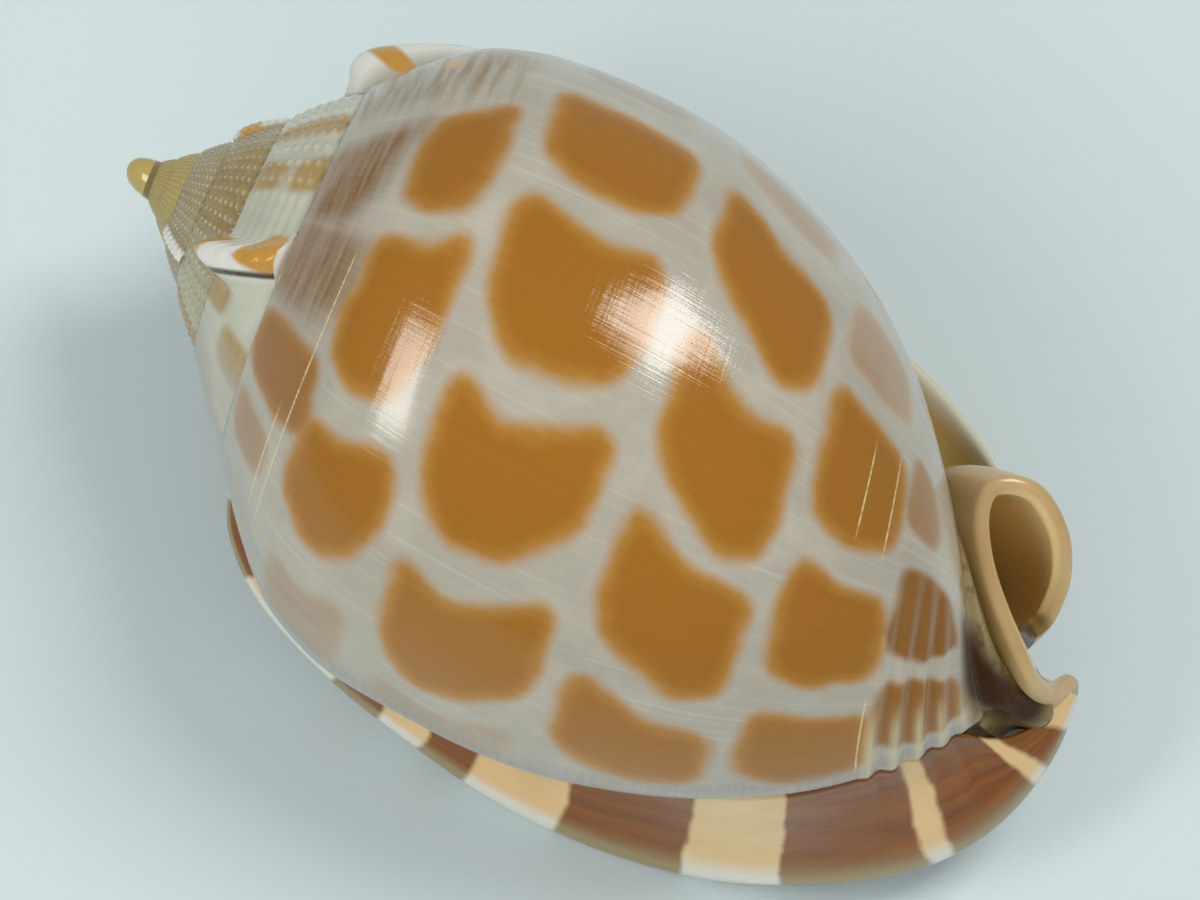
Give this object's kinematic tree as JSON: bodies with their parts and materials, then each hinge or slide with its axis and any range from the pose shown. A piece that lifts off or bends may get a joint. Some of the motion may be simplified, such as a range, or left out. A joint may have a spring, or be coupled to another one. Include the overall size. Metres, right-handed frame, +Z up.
{
  "type": "checkerboard bonnet shell",
  "caption": "Sea-snail shell with a swollen glossy last whorl, short pointed spire, old lips on it, a thick turned-back outer lip and an upturned canal; it lies on its aperture side",
  "frame": {"origin": "centre of the bounding box's bottom, on the surface the shell rests on", "axes": "+X along the shell from the tip of the spire to the canal, +Y away from the outer lip, +Z up from the resting surface through the back"},
  "size_m": [0.0704, 0.0433, 0.0379],
  "materials": {
    "glazed_shell": "glossy"
  },
  "bodies": {
    "root": {"shell": "glazed_shell"}
  },
  "joints": []
}
